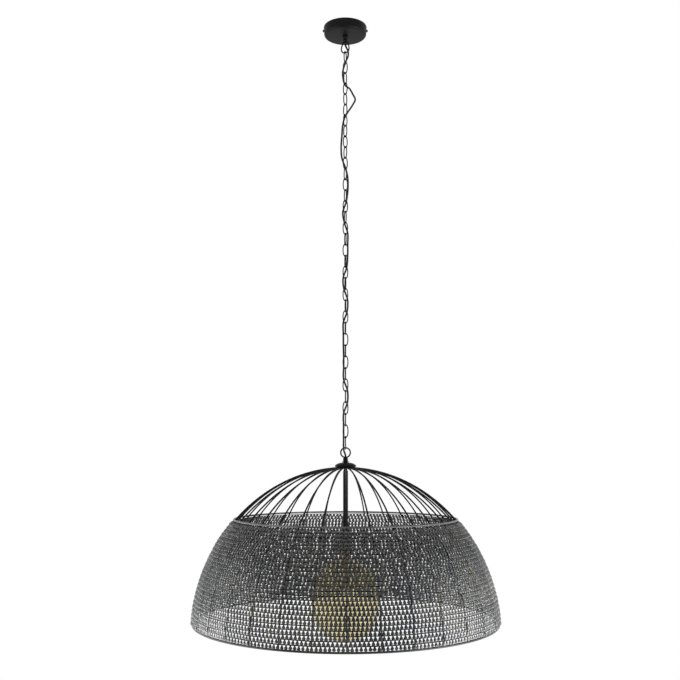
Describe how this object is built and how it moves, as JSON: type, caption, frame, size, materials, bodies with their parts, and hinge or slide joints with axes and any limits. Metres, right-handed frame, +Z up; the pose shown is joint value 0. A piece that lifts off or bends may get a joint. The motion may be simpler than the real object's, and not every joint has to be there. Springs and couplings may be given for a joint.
{
  "type": "beaded dome chandelier",
  "caption": "Chain-hung chandelier with a wide welded wire dome, its lower part skirted with rows of dark drop beads round a large amber globe bulb, under a cup ceiling canopy.",
  "frame": {"origin": "centre of the ceiling bracket's top face, in the ceiling plane and on the lamp's axis", "axes": "+Z up; -Y towards the viewer of the picture (front); +X to that viewer's right"},
  "size_m": [0.7904, 0.7904, 1.6572],
  "materials": {
    "black_metal": "satin black",
    "bracket_steel": "zinc-plated",
    "terminal_plastic": "off-white",
    "flex_cover": "black braided sleeve",
    "bead_glass": "glossy opaque dark grey",
    "holder_plastic": "satin black",
    "cap_metal": "nickel-plated",
    "bulb_glass": "clear amber"
  },
  "bodies": {
    "canopy": {"canopy_cup": "black_metal", "ceiling_bracket": "bracket_steel", "side_screw_left": "black_metal", "side_screw_right": "black_metal", "terminal_block": "terminal_plastic", "canopy_loop": "black_metal", "loop_locknut": "black_metal", "flex_top": "flex_cover"},
    "top_link": {"chain_link_01": "black_metal"},
    "chain": {"chain_link_02": "black_metal", "chain_link_03": "black_metal", "chain_link_04": "black_metal", "chain_link_05": "black_metal", "chain_link_06": "black_metal", "chain_link_07": "black_metal", "chain_link_08": "black_metal", "chain_link_09": "black_metal", "chain_link_10": "black_metal", "chain_link_11": "black_metal", "chain_link_12": "black_metal", "chain_link_13": "black_metal", "chain_link_14": "black_metal", "chain_link_15": "black_metal", "chain_link_16": "black_metal", "chain_link_17": "black_metal", "chain_link_18": "black_metal", "chain_link_19": "black_metal", "chain_link_20": "black_metal", "chain_link_21": "black_metal", "chain_link_22": "black_metal", "chain_link_23": "black_metal", "chain_link_24": "black_metal", "chain_link_25": "black_metal", "chain_link_26": "black_metal", "chain_link_27": "black_metal", "chain_link_28": "black_metal", "chain_link_29": "black_metal", "chain_link_30": "black_metal", "chain_link_31": "black_metal", "chain_link_32": "black_metal", "chain_link_33": "black_metal", "chain_link_34": "black_metal", "chain_link_35": "black_metal", "flex_main": "flex_cover"},
    "bottom_link": {"chain_link_36": "black_metal", "flex_low": "flex_cover"},
    "shade": {"shade_loop": "black_metal", "loop_nut": "black_metal", "hub_cap": "black_metal", "frame_upper": "black_metal", "frame_lower": "black_metal", "bead_band_upper": "bead_glass", "bead_band_lower": "bead_glass", "stem_tube": "black_metal", "lampholder_cap": "holder_plastic", "lampholder_body": "holder_plastic", "flex_end": "flex_cover"},
    "bulb": {"bulb_cap": "cap_metal", "bulb_globe": "bulb_glass", "bulb_filament": "cap_metal"}
  },
  "joints": [
    {"name": "canopy_swing", "type": "hinge", "parent": "canopy", "child": "top_link", "pos_m": [0, 0, -0.074], "axis": [0.9063, -0.4226, 0], "range_deg": [-40, 40], "deforming": ["flex_top"]},
    {"name": "chain_swing", "type": "hinge", "parent": "top_link", "child": "chain", "pos_m": [0, 0, -0.104], "axis": [0.4766, 0.8791, 0], "range_deg": [-40, 40], "deforming": ["flex_main"]},
    {"name": "shade_tilt_front", "type": "hinge", "parent": "chain", "child": "bottom_link", "pos_m": [0, 0, -1.1376], "axis": [1, 0.0033, 0], "range_deg": [-30, 30], "deforming": ["flex_low"]},
    {"name": "shade_tilt_side", "type": "hinge", "parent": "bottom_link", "child": "shade", "pos_m": [0, 0, -1.168], "axis": [-0.0008, 1, 0], "range_deg": [-30, 30], "deforming": ["flex_end"]},
    {"name": "bulb_release", "type": "slide", "parent": "shade", "child": "bulb", "axis": [0, 0, -1], "range_m": [0, 0.03]}
  ]
}
